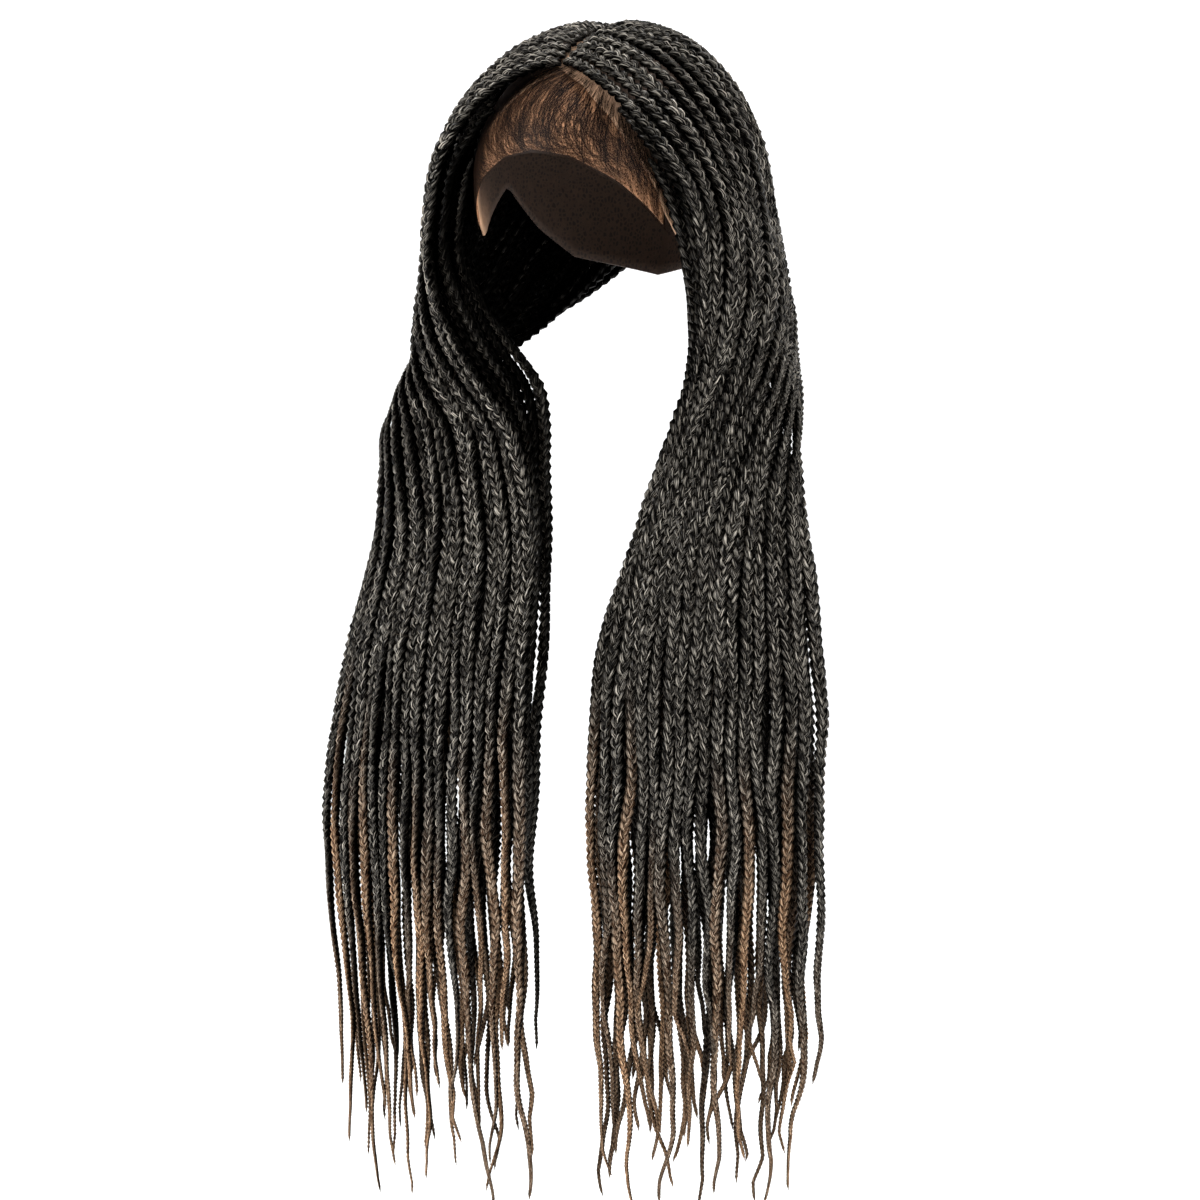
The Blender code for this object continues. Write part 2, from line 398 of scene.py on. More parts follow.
def grid_quads(rows: int, columns: int, closed: bool, first: int = 0) -> np.ndarray:
    """Return the faces of a grid of points.

    Args:
        rows: points along.
        columns: points across.
        closed: whether the last column joins the first.
        first: index of the grid's first point.

    Returns:
        Four point indices for each face.
    """
    along = np.arange(rows - 1)[:, None] * columns
    across = np.arange(columns if closed else columns - 1)[None, :]
    after = (across + 1) % columns
    quads = np.stack([along + across, along + after, along + columns + after, along + columns + across], -1)
    return quads.reshape(-1, 4) + first


def make_piece(
    name: str, points: np.ndarray, quads: np.ndarray, marks: dict, material: bpy.types.Material,
) -> bpy.types.Object:
    """Make one smooth mesh object from arrays.

    Args:
        name: the object's name.
        points: the vertices.
        quads: the faces.
        marks: for each Mark, one number or one vector for each vertex.
        material: the object's material.

    Returns:
        The linked object, on the frame's only body.
    """
    mesh = bpy.data.meshes.new(name)
    mesh.vertices.add(len(points))
    mesh.vertices.foreach_set("co", points.astype(np.float32).ravel())
    mesh.loops.add(quads.size)
    mesh.loops.foreach_set("vertex_index", quads.astype(np.int32).ravel())
    mesh.polygons.add(len(quads))
    mesh.polygons.foreach_set("loop_start", np.arange(0, quads.size, 4, dtype=np.int32))
    mesh.polygons.foreach_set("use_smooth", np.ones(len(quads), dtype=bool))
    mesh.update(calc_edges=True)
    for mark, values in marks.items():
        if values.ndim == 2:
            layer = mesh.attributes.new(mark.value, "FLOAT_VECTOR", "POINT")
            layer.data.foreach_set("vector", values.astype(np.float32).ravel())
        else:
            layer = mesh.attributes.new(mark.value, "FLOAT", "POINT")
            layer.data.foreach_set("value", values.astype(np.float32))
    mesh.materials.append(material)
    piece = bpy.data.objects.new(name, mesh)
    bpy.context.scene.collection.objects.link(piece)
    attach(piece, "root")
    return piece


# The cap's form and the sheet that all braids follow


@dataclass(frozen=True)
class CapForm:
    """The form inside the cap: half an ellipsoid above its widest level, another below it.

    Crown and nape are its heights above and below that level, set_back how far its crown lies back, and cap the
    wall of net on it.
    """

    half_width: float = 79.0 * MM
    half_length: float = 98.0 * MM
    crown: float = 100.0 * MM
    nape: float = 130.0 * MM
    set_back: float = 18.0 * MM
    cap: float = 1.5 * MM

    def point(self, azimuth: np.ndarray, polar: np.ndarray, offset: np.ndarray | float) -> np.ndarray:
        """Return points on the form.

        Args:
            azimuth: the angles round the form, 0 at the front, rising to the wig's left.
            polar: the angles down from the crown.
            offset: how far the points stand off the form.

        Returns:
            One point for each pair of angles.
        """
        rise = np.where(polar < math.pi / 2, self.crown, self.nape)
        round_share = np.sin(polar)
        x = (self.half_width + offset) * round_share * np.sin(azimuth)
        y = -(self.half_length + offset) * round_share * np.cos(azimuth)
        y = y + self.set_back * np.maximum(0.0, np.cos(polar)) ** 2
        z = (rise + offset) * np.cos(polar) - self.crown
        return np.stack([x, y, z], -1)

    def outward(self, points: np.ndarray) -> np.ndarray:
        """Return the outward directions.

        Args:
            points: points near the form.

        Returns:
            One direction of length one for each point.
        """
        height = points[..., 2] + self.crown
        level = np.clip(height / self.crown, 0.0, 1.0)
        rise = np.where(height > 0, self.crown, self.nape)
        x = points[..., 0] / self.half_width ** 2
        y = (points[..., 1] - self.set_back * level ** 2) / self.half_length ** 2
        z = height / rise ** 2 - y * 2 * self.set_back * level / self.crown
        return unit(np.stack([x, y, z], -1))


# Polar angles in degrees of the cap's edge and the sheer panel's edge, by azimuth from the front to the nape
EDGE_AZIMUTH = (0.0, 18.0, 36.0, 54.0, 63.0, 72.0, 81.0, 99.0, 117.0, 135.0, 180.0)
CAP_EDGE = (41.0, 49.0, 64.0, 86.0, 98.0, 106.0, 101.0, 90.0, 103.0, 112.0, 118.0)
LACE_EDGE = (77.0, 79.5, 87.0, 96.5, 102.0, 106.0, 101.0, 90.0, 103.0, 112.0, 118.0)


def edge_polar(azimuth: np.ndarray, edge: tuple) -> np.ndarray:
    """Return an edge's polar angles.

    Args:
        azimuth: angles round the form, in radians.
        edge: the table of the edge, in degrees.

    Returns:
        One angle in radians for each azimuth.
    """
    return np.radians(np.interp(np.abs(np.degrees(azimuth)), EDGE_AZIMUTH, edge))


@dataclass(frozen=True)
class Row:
    """One level of the hanging sheet: drop is a share of the sheet's drop, places are shares of its spread."""

    drop: float
    front: tuple[float, float]
    near: tuple[float, float]
    far: tuple[float, float]
    back: tuple[float, float]
    turns: tuple[float, float]
    thick: float
    tuck: float


ROWS = (
    Row(0.190, (0.424, -0.196), (0.516, 0.000), (0.435, 0.247), (0.163, 0.505), (50.0, 165.0), 1.00, 0.000),
    Row(0.260, (0.388, -0.040), (0.555, -0.045), (0.560, 0.118), (0.435, 0.272), (35.0, 115.0), 1.00, 0.100),
    Row(0.295, (0.345, 0.028), (0.533, -0.033), (0.630, -0.030), (0.590, 0.100), (27.0, 93.0), 1.00, 0.136),
    Row(0.330, (0.277, 0.076), (0.467, 0.005), (0.630, -0.050), (0.688, -0.005), (20.0, 75.0), 1.00, 0.060),
    Row(0.370, (0.235, 0.070), (0.432, -0.022), (0.609, -0.065), (0.722, -0.003), (12.0, 63.0), 1.00, 0.012),
    Row(0.415, (0.197, 0.036), (0.400, -0.062), (0.596, -0.080), (0.758, 0.005), (5.0, 55.0), 1.00, 0.000),
    Row(0.525, (0.137, -0.130), (0.398, -0.204), (0.641, -0.179), (0.862, -0.065), (0.0, 50.0), 0.98, 0.000),
    Row(0.665, (0.122, -0.222), (0.398, -0.258), (0.663, -0.234), (0.926, -0.139), (0.0, 50.0), 0.92, 0.000),
    Row(0.815, (0.142, -0.195), (0.398, -0.247), (0.652, -0.223), (0.904, -0.130), (0.0, 50.0), 0.80, 0.000),
    Row(1.000, (0.133, -0.215), (0.394, -0.236), (0.647, -0.217), (0.926, -0.141), (0.0, 50.0), 0.42, 0.000),
)


@dataclass(frozen=True)
class Sheet:
    """The sheet from the part to the tips: across runs from its front edge (0) to its back edge (1)."""

    form: CapForm
    drop: float = 0.800
    spread: float = 0.184
    dome_steps: int = 6
    part_half_width: float = 1.6 * MM
    part_ends: tuple[float, float] = (41.0, -42.0)
    turn_ends: tuple[float, float] = (57.0, 176.0)
    tuck_turn: float = -153.0
    lock_thickness: float = 11.2 * MM
    lift: float = 1.2 * MM
    gap: float = 1.8 * MM
    middle_shares: tuple = (0.00, 0.00, 0.00, 0.00, 0.05, 0.50, 0.98)
    outer_shares: tuple = (0.00, 0.25, 0.55, 0.88, 1.22, 1.62, 1.98)

    def dome(self, across: np.ndarray, share: float) -> np.ndarray:
        """Return the points where the sheet lies on the cap.

        Args:
            across: places across the sheet.
            share: how far down the points are, 0 at the part and 1 at the form's widest level.

        Returns:
            One point for each place.
        """
        slope = np.radians(self.part_ends[0] + across * (self.part_ends[1] - self.part_ends[0]))
        turn = np.radians(self.turn_ends[0] + across * (self.turn_ends[1] - self.turn_ends[0]))
        start = np.stack([np.zeros_like(slope), -np.sin(slope), np.cos(slope)], -1)
        end = np.stack([np.sin(turn), -np.cos(turn), np.zeros_like(turn)], -1)
        angle = np.arccos(np.clip((start * end).sum(-1, keepdims=True), -1.0, 1.0))
        way = (np.sin((1 - share) * angle) * start + np.sin(share * angle) * end) / np.sin(angle)
        polar = np.arccos(np.clip(way[..., 2], -1.0, 1.0))
        return self.form.point(np.arctan2(way[..., 0], -way[..., 1]), polar, self.form.cap)

    def stations(self, across: np.ndarray, tuck: float = 0.0) -> tuple[np.ndarray, np.ndarray]:
        """Return the sheet's points and stacking directions at each of its stations.

        Args:
            across: places across the sheet.
            tuck: how far the front edge is drawn back, as a share of the inner layer's.

        Returns:
            Points and directions, each by station, then place.
        """
        first = self.part_half_width / (math.pi / 2 * self.form.half_width)
        points = []
        ways = []
        for step in range(self.dome_steps + 1):
            here = self.dome(across, first + (1 - first) * step / self.dome_steps)
            points.append(here)
            ways.append(self.form.outward(here))
        knots = (0.0, 1 / 3, 2 / 3, 1.0)
        weights = []
        for knot in knots:
            others = [other for other in knots if other != knot]
            weights.append(math.prod((across - other) / (knot - other) for other in others))
        for row in ROWS:
            places = (row.front, row.near, row.far, row.back)
            x = sum(weight * place[0] for weight, place in zip(weights, places)) * self.spread
            y = sum(weight * place[1] for weight, place in zip(weights, places)) * self.spread
            reach = tuck * row.tuck * self.spread * (1.0 - across) ** 2
            x = x + reach * math.sin(math.radians(self.tuck_turn))
            y = y - reach * math.cos(math.radians(self.tuck_turn))
            turn = np.radians(row.turns[0] + across * (row.turns[1] - row.turns[0]))
            points.append(np.stack([x, y, np.full_like(x, -row.drop * self.drop)], -1))
            ways.append(np.stack([np.sin(turn), -np.cos(turn), np.zeros_like(turn)], -1))
        return np.stack(points), np.stack(ways)

    def knots(self) -> np.ndarray:
        """Return each station's distance from the part, measured halfway across the sheet."""
        points, _ = self.stations(np.array([0.5]))
        steps = np.linalg.norm(np.diff(points[:, 0], axis=0), axis=-1)
        return np.concatenate([[0.0], np.cumsum(steps)])

    def layer_heights(self, layer: Layer) -> tuple[np.ndarray, np.ndarray]:
        """Return the heights of a layer's faces above the sheet.

        Args:
            layer: the layer.

        Returns:
            Its inner and its outer face, each with one height for each station.
        """
        rows = len(ROWS)
        thick = self.lock_thickness * np.concatenate([np.ones(self.dome_steps + 1), [row.thick for row in ROWS]])
        outer = self.lift + np.concatenate([self.outer_shares, np.full(rows, self.outer_shares[-1])]) * thick
        middle = self.lift + np.concatenate([self.middle_shares, np.full(rows, self.middle_shares[-1])]) * thick
        if layer is Layer.OUTER:
            return outer, outer + thick
        if layer is Layer.MIDDLE:
            return middle, outer - self.gap
        return np.full(len(thick), self.lift), middle - self.gap


def hermite(knots: np.ndarray, values: np.ndarray, places: np.ndarray) -> np.ndarray:
    """Return a smooth curve through values at knots.

    Args:
        knots: the rising places of the values.
        values: one row for each knot.
        places: where the curve is read.

    Returns:
        One row for each place.
    """
    gaps = np.diff(knots)
    shape = (-1,) + (1,) * (values.ndim - 1)
    slopes = np.diff(values, axis=0) / gaps.reshape(shape)
    before, after = gaps[:-1].reshape(shape), gaps[1:].reshape(shape)
    inner = (slopes[:-1] * after + slopes[1:] * before) / (before + after)
    tangents = np.concatenate([slopes[:1], inner, slopes[-1:]])
    index = np.clip(np.searchsorted(knots, places, side="right") - 1, 0, len(gaps) - 1)
    width = gaps[index].reshape(shape)
    t = (places - knots[index]).reshape(shape) / width
    low, high = values[index], values[index + 1]
    return (
        (2 * t ** 3 - 3 * t ** 2 + 1) * low + (t ** 3 - 2 * t ** 2 + t) * width * tangents[index]
        + (3 * t ** 2 - 2 * t ** 3) * high + (t ** 3 - t ** 2) * width * tangents[index + 1]
    )


class Layer(Enum):
    """The three layers of locks, each by the start of its node names."""

    OUTER = "outer_lock"
    MIDDLE = "middle_lock"
    INNER = "inner_lock"


@dataclass(frozen=True)
class LayerPlan:
    """How a layer's locks divide the sheet.

    The span is their first and last place across, station where they begin, tuck how far their front edge is
    drawn back, and tips the level of each lock's tip as a share of the drop, front to back, first on the wig's
    right and then on its left.
    """

    span: tuple[float, float]
    station: int
    tuck: float
    tips: tuple[tuple[float, ...], tuple[float, ...]]

    @property
    def locks(self) -> int:
        """Return how many locks a side has."""
        return len(self.tips[0])

    @property
    def width(self) -> float:
        """Return a lock's width as a share of the sheet's."""
        return (self.span[1] - self.span[0]) / self.locks


PLANS = {
    Layer.OUTER: LayerPlan((0.00, 1.00), 0, 0.0, (
        (0.985, 0.955, 0.995, 0.940, 0.975, 0.925, 0.965, 0.990, 0.950),
        (0.960, 0.990, 0.945, 0.980, 0.930, 0.970, 0.940, 0.985, 0.965),
    )),
    Layer.MIDDLE: LayerPlan((0.01, 0.99), 3, 0.5, (
        (0.950, 0.985, 0.930, 0.965, 0.940, 0.990, 0.930, 0.960),
        (0.980, 0.940, 0.970, 0.925, 0.985, 0.945, 0.975, 0.935),
    )),
    Layer.INNER: LayerPlan((0.00, 0.97), 5, 1.0, (
        (0.930, 0.965, 0.915, 0.950, 0.935, 0.920),
        (0.955, 0.925, 0.945, 0.930, 0.960, 0.910),
    )),
}


# Braids


# Length and weight of the waves that a slow wave is the sum of, and how far each length may be stretched
WAVES = ((210 * MM, 0.5), (90 * MM, 0.35), (47 * MM, 0.15))
WAVE_STRETCH = (0.8, 1.25)


def slow_wave(along: np.ndarray, rng: np.random.Generator) -> np.ndarray:
    """Return a slow random wave.

    Args:
        along: distances along a braid.
        rng: the seeded source of small differences.

    Returns:
        One value for each distance, between about -1 and 1.
    """
    wave = np.zeros_like(along)
    for length, weight in WAVES:
        turn = rng.uniform(0, math.tau)
        stretch = rng.uniform(*WAVE_STRETCH)
        wave += weight * np.sin(math.tau * along / (length * stretch) + turn)
    return wave


@dataclass(frozen=True)
class Place:
    """A braid's place in its lock: shares of the lock's width from its middle, at the root and low down.

    Level says whether it lies outside (1) or inside (-1) where the lock is narrow.
    """

    root: float
    low: float
    level: float
    longest: bool = False


@dataclass(frozen=True)
class Lock:
    """One lock of the frame: its layer, its number from the front, its side and the wave its braids share.

    Pair, triple and last are how far a braid lies from the lock's middle, as shares of the lock's width.
    """

    layer: Layer
    index: int
    side: float
    turns: tuple[float, ...]
    waves: tuple = ((0.6, 240 * MM), (0.4, 110 * MM))
    pair: float = 0.25
    triple: float = 0.33
    last: float = 0.34

    def sway(self, places: np.ndarray) -> np.ndarray:
        """Return the lock's own slow wave at distances from the part."""
        return sum(
            weight * np.sin(math.tau * places / length + turn)
            for (weight, length), turn in zip(self.waves, self.turns)
        )

    @property
    def plan(self) -> LayerPlan:
        """Return the plan of the lock's layer."""
        return PLANS[self.layer]

    @property
    def node(self) -> str:
        """Return the name of the frame's node."""
        return f"{self.layer.value}_{'left' if self.side > 0 else 'right'}_{self.index + 1}"

    def places(self) -> tuple[Place, ...]:
        """Lay out the lock's braids, alternately outside and inside. The last lock's back braid hangs wider.

        Returns:
            One place for each braid.
        """
        turn = 1.0 if self.index % 2 else -1.0
        if self.layer is Layer.MIDDLE:
            return Place(-self.pair, -self.pair, -turn, longest=True), Place(self.pair, self.pair, turn)
        if self.layer is Layer.INNER:
            return (
                Place(-self.triple, -self.triple, -turn), Place(0.0, 0.0, turn, longest=True),
                Place(self.triple, self.triple, -turn),
            )
        back = self.last if self.index == self.plan.locks - 1 else self.pair
        return Place(-self.pair, -self.pair, 1.0, longest=True), Place(self.pair, back, -1.0)


# Width of a braid by its distance from the part, in millimetres
WIDTH_PLACES = (0, 8, 22, 50, 120, 300, 400, 520, 620, 720, 790, 860)
WIDTHS = (6.6, 9.2, 10.6, 11.2, 11.4, 11.4, 11.2, 10.2, 8.4, 6.8, 6.0, 5.2)


@dataclass(frozen=True)
class Hang:
    """How a braid hangs in its lock.

    Ranges that end in _spread are drawn from for each braid. A taper has its places, as distances, and the
    shares of the width there. Probe is half the width across the sheet over which a braid's room is measured,
    and settle the stations that it takes from its root's place to its low one. Flat, seat and crowd are shares
    of the braid's width: its thickness, the height of its root, and the room below which neighbours lie over
    each other. A wander is how far a braid leaves its lock's line.
    """

    step: float = 1.5 * MM
    begin: float = 1.8 * MM
    probe: float = 0.01
    settle: float = 5.0
    shorter_spread: tuple[float, float] = (0.01, 0.13)
    width_spread: tuple[float, float] = (0.90, 1.06)
    most_of_room: float = 1.1
    most_of_height: float = 1.45
    flat: float = 0.70
    seat: float = 0.34
    crowd: float = 2.0
    stagger: tuple[float, float] = (0.85, 0.3)
    stagger_places: tuple[float, float] = (20 * MM, 80 * MM)
    root_places: tuple = (0.0, 15 * MM, 45 * MM)
    root_taper: tuple = (0.45, 0.8, 1.0)
    tip_places: tuple = (0.0, 45 * MM, 150 * MM)
    tip_taper: tuple = (0.42, 0.66, 1.0)
    rise: float = 10 * MM
    wander_places: tuple = (0.0, 250 * MM, 450 * MM, 860 * MM)
    wander: tuple = (0.0, 0.7 * MM, 1.8 * MM, 5.5 * MM)
    own_share: tuple = (0.4, 0.6, 0.5, 0.65)
    depth_share: float = 0.4
    sway_places: tuple[float, float] = (10 * MM, 100 * MM)
    end_length: float = 70 * MM
    end_bend: float = 5.0 * MM
    kink: float = 1.6 * MM
    kink_steps: int = 11
    kink_places: tuple[float, float] = (90 * MM, 10 * MM)


@dataclass(frozen=True)
class PlaitSize:
    """How a three-strand plait is laid.

    Strand, swing, depth and pitch are shares of the braid's width, and least_pitch keeps thin ends from taking
    too many faces. Ranges that end in _spread are drawn from for each braid. The painted groove shade and side
    set the shade painted into the plait's colour and gloss: what is left of the light there, and how fast it
    falls off.
    """

    strands: int = 3
    sides: int = 4
    samples: int = 12
    pitch: float = 2.02
    least_pitch: float = 8.0 * MM
    strand: float = 0.240
    swing: float = 0.272
    depth: float = 0.170
    end_length: float = 5.0 * MM
    end_strand: float = 0.30
    end_swing: float = 0.15
    end_depth: float = 0.2
    roll: float = 28.0
    roll_spread: tuple[float, float] = (160 * MM, 300 * MM)
    roll_places: tuple[float, float] = (0.0, 80 * MM)
    lean: float = 0.15
    uneven: float = 0.07
    uneven_spread: tuple[float, float] = (30 * MM, 60 * MM)
    tone_spread: tuple[float, float] = (0.80, 1.12)
    pattern_step: float = 0.37
    painted_groove_shade: float = 0.03
    painted_groove_power: float = 1.5
    side: float = 0.04
    painted_side_range: tuple[float, float] = (-0.25, 0.85)
    fade_spread: tuple[float, float] = (0.46, 0.70)
    fade_length: float = 0.18
    fade_depths: tuple = (0.45, 0.8, 1.0, 1.0)


class Braid:
    """One box braid: its centreline in the sheet, and the three strands plaited along it."""

    def __init__(
        self, sheet: Sheet, lock: Lock, place: Place, size: PlaitSize, rng: np.random.Generator,
        hang: Hang = Hang(),
    ) -> None:
        """Hang the braid in its lock.

        Args:
            sheet: the sheet that the braids follow.
            lock: the lock that the braid belongs to.
            place: the braid's place in the lock.
            size: how the plait is laid.
            rng: the seeded source of small differences.
            hang: how the braid hangs.
        """
        self.size, self.side, self.rng = size, lock.side, rng
        plan, knots = lock.plan, sheet.knots()
        tip = plan.tips[0 if lock.side < 0 else 1][lock.index]
        tip -= 0.0 if place.longest else rng.uniform(*hang.shorter_spread)
        tip_place = np.interp(tip, [row.drop for row in ROWS], knots[sheet.dome_steps + 1:])
        self.places = np.arange(knots[plan.station] + hang.begin, tip_place, hang.step)
        along = self.places - self.places[0]
        left = along[-1] - along

        middle = plan.span[0] + (lock.index + 0.5) * plan.width
        near = np.array([-hang.probe, 0.0, hang.probe])
        at_root, ways_root = sheet.stations(middle + place.root * plan.width + near, plan.tuck)
        at_low, ways_low = sheet.stations(middle + place.low * plan.width + near, plan.tuck)
        blend = np.clip(np.arange(len(knots)) / hang.settle, 0.0, 1.0)[:, None, None]
        base = hermite(knots, at_root + (at_low - at_root) * blend, self.places)
        way = unit(hermite(knots, ways_root + (ways_low - ways_root) * blend, self.places))
        inner, outer = sheet.layer_heights(lock.layer)
        low, high = np.interp(self.places, knots, inner), np.interp(self.places, knots, outer)
        self.out = way[:, 1]

        room = np.linalg.norm(base[:, 2] - base[:, 0], axis=-1) / (2 * hang.probe) * plan.width
        target = np.interp(self.places / MM, WIDTH_PLACES, WIDTHS) * MM * rng.uniform(*hang.width_spread)
        self.width = np.minimum(target, room * hang.most_of_room)
        self.width = np.minimum(self.width, (high - low) * hang.most_of_height)
        if plan.station > 0:
            self.width = self.width * np.interp(along, hang.root_places, hang.root_taper)
        self.width = self.width * np.interp(left, hang.tip_places, hang.tip_taper)

        spare = np.maximum(high - low - hang.flat * self.width, 0.0) / 2
        crowd = np.clip((hang.crowd * self.width - room) / self.width, 0.0, 1.0)
        stagger = place.level * (hang.stagger[0] + hang.stagger[1] * slow_wave(along, rng)) * crowd
        stagger = np.clip(stagger * smooth(*hang.stagger_places, along), -1.0, 1.0)
        rise = smooth(0.0, hang.rise, along)
        height = ((low + high) / 2 + stagger * spare) * rise + (low + hang.seat * self.width) * (1.0 - rise)
        line = base[:, 1] + self.out * height[:, None]
        self.across = unit(np.cross(self.out, unit(np.gradient(line, axis=0))))

        shared = np.interp(self.places, hang.wander_places, hang.wander)
        own = np.interp(self.places, hang.wander_places, hang.own_share) * shared
        end = smooth(hang.end_length, 0.0, left) ** 2
        shift = lock.sway(self.places) * shared + slow_wave(along, rng) * own
        shift = shift * smooth(*hang.sway_places, along) + end * rng.normal(0.0, hang.end_bend)
        depth = slow_wave(along, rng) * own * hang.depth_share + end * rng.normal(0.0, hang.end_bend)
        kinks = rng.normal(0.0, hang.kink, len(along) // hang.kink_steps + 2)
        kinked = np.interp(np.arange(len(along)) / hang.kink_steps, np.arange(len(kinks)), kinks)
        shift = shift + kinked * smooth(*hang.kink_places, left)
        self.line = line + self.across * shift[:, None] + self.out * (depth * rise)[:, None]

    def mesh(self) -> tuple[np.ndarray, np.ndarray, dict]:
        """Plait the braid: each strand swings from side to side and passes over and under the others.

        Returns:
            Its vertices, its faces and its marks.
        """
        size, rng = self.size, self.rng
        steps = np.linalg.norm(np.diff(self.line, axis=0), axis=-1)
        pitch = np.maximum(size.pitch * self.width[1:], size.least_pitch)
        turn = np.concatenate([[0.0], np.cumsum(math.tau * steps / pitch)])
        cuts = np.arange(0.0, turn[-1], math.tau / size.samples)
        cuts = cuts if len(cuts) % 2 else cuts[:-1]

        def read(values: np.ndarray) -> np.ndarray:
            """Return a number or a vector of the centreline at the cuts."""
            columns = [np.interp(cuts, turn, column) for column in values.reshape(len(values), -1).T]
            return np.stack(columns, -1).reshape(-1, *values.shape[1:])

        line, out, across = read(self.line), unit(read(self.out)), unit(read(self.across))
        along = read(np.concatenate([[0.0], np.cumsum(steps)]))
        width, place = read(self.width), read(self.places)
        roll = np.radians(size.roll) * self.ripple(along, size.roll_spread)
        roll = roll * smooth(*size.roll_places, along) + rng.uniform(-size.lean, size.lean)
        flat = across * np.cos(roll)[:, None] + out * np.sin(roll)[:, None]
        deep = out * np.cos(roll)[:, None] - across * np.sin(roll)[:, None]
        shut = smooth(0.0, size.end_length, along[-1] - along)
        uneven = 1.0 + size.uneven * self.ripple(along, size.uneven_spread)
        strand = size.strand * width * uneven * (size.end_strand + (1.0 - size.end_strand) * shut)
        swing = size.swing * width * (size.end_swing + (1.0 - size.end_swing) * shut)
        deep_swing = size.depth * width * (size.end_depth + (1.0 - size.end_depth) * shut)
        corners = math.tau * (np.arange(size.sides) / size.sides + 0.25)
        start, tone = rng.uniform(0, math.tau), rng.uniform(*size.tone_spread)
        points, quads, fibre, shade = [], [], [], []
        for number in range(size.strands):
            phase = cuts + start + math.tau * number / size.strands
            cross = np.sin(2 * phase)
            centre = line + flat * (swing * np.sin(phase))[:, None] - deep * (deep_swing * cross)[:, None]
            tangent = unit(np.gradient(centre, axis=0))
            first = unit(flat - tangent * (flat * tangent).sum(-1, keepdims=True))
            second = np.cross(tangent, first)
            face = first[:, None] * np.cos(corners)[:, None] + second[:, None] * np.sin(corners)[:, None]
            points.append((centre[:, None] + face * strand[:, None, None]).reshape(-1, 3))
            quads.append(grid_quads(len(cuts), size.sides, True, len(cuts) * size.sides * number))
            seat = np.broadcast_to((along + size.pattern_step * number + start)[:, None], face.shape[:2])
            round_x, round_y = (np.broadcast_to(wave(corners), seat.shape) for wave in (np.cos, np.sin))
            fibre.append(np.stack([seat, round_x, round_y], -1).reshape(-1, 3))
            # Painted shade: each strand is darker on its sides and where it sinks under the others, as the
            # plait's grooves would shade it; tone is the braid's own random tone.
            painted_side_light = smooth(*size.painted_side_range, (face * deep[:, None]).sum(-1))
            raised = (0.5 - 0.5 * cross) ** size.painted_groove_power
            painted_groove_shade = size.painted_groove_shade + (1.0 - size.painted_groove_shade) * raised
            shade.append((tone * painted_groove_shade[:, None] * (size.side + (1.0 - size.side) * painted_side_light)).ravel())
        fade_start, fade_depth = rng.uniform(*size.fade_spread), rng.choice(size.fade_depths)
        fade = fade_depth * smooth(fade_start, fade_start + size.fade_length, place)
        marks = {
            Mark.FIBRE: np.concatenate(fibre), Mark.TONE_AND_PAINTED_SHADE: np.concatenate(shade),
            Mark.FADE: np.tile(np.repeat(fade, size.sides), size.strands),
        }
        faces = np.concatenate(quads)
        mirror = np.array([self.side, 1.0, 1.0])
        return np.concatenate(points) * mirror, faces[:, ::-1] if self.side > 0 else faces, marks

    def ripple(self, along: np.ndarray, spread: tuple[float, float]) -> np.ndarray:
        """Return an even wave along the braid, of a random length from spread and a random start."""
        return np.sin(math.tau * along / self.rng.uniform(*spread) + self.rng.uniform(0, math.tau))


@dataclass(frozen=True)
class BraidLayer:
    """All locks of one layer, each replaced by its own braids: the longest finely laid, the rest more simply."""

    sheet: Sheet
    layer: Layer
    finish: bpy.types.Material
    slot: str
    fine: PlaitSize
    simple: PlaitSize

    def build(self, rng: np.random.Generator) -> None:
        """Braid every lock of the layer.

        Args:
            rng: the seeded source of small differences.
        """
        total = 0
        for index in range(PLANS[self.layer].locks):
            for side in (-1.0, 1.0):
                lock = Lock(self.layer, index, side, tuple(rng.uniform(0, math.tau, 2)))
                total += len(self.build_lock(lock, rng).data.polygons)
        LOG.info("%s: %d faces", self.layer.value, total)

    def build_lock(self, lock: Lock, rng: np.random.Generator) -> bpy.types.Object:
        """Braid one lock.

        Args:
            lock: the lock.
            rng: the seeded source of small differences.

        Returns:
            The piece that replaces the lock's node.
        """
        points, faces, marks = [], [], []
        for place in lock.places():
            size = self.fine if place.longest else self.simple
            body, quads, marked = Braid(self.sheet, lock, place, size, rng).mesh()
            faces.append(quads + sum(map(len, points)))
            points.append(body)
            marks.append(marked)
        joined = {mark: np.concatenate([marked[mark] for marked in marks]) for mark in Mark}
        name = lock.node.replace("lock", "braids")
        piece = make_piece(name, np.concatenate(points), np.concatenate(faces), joined, self.finish)
        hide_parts(lock.node)
        return piece


# Lace


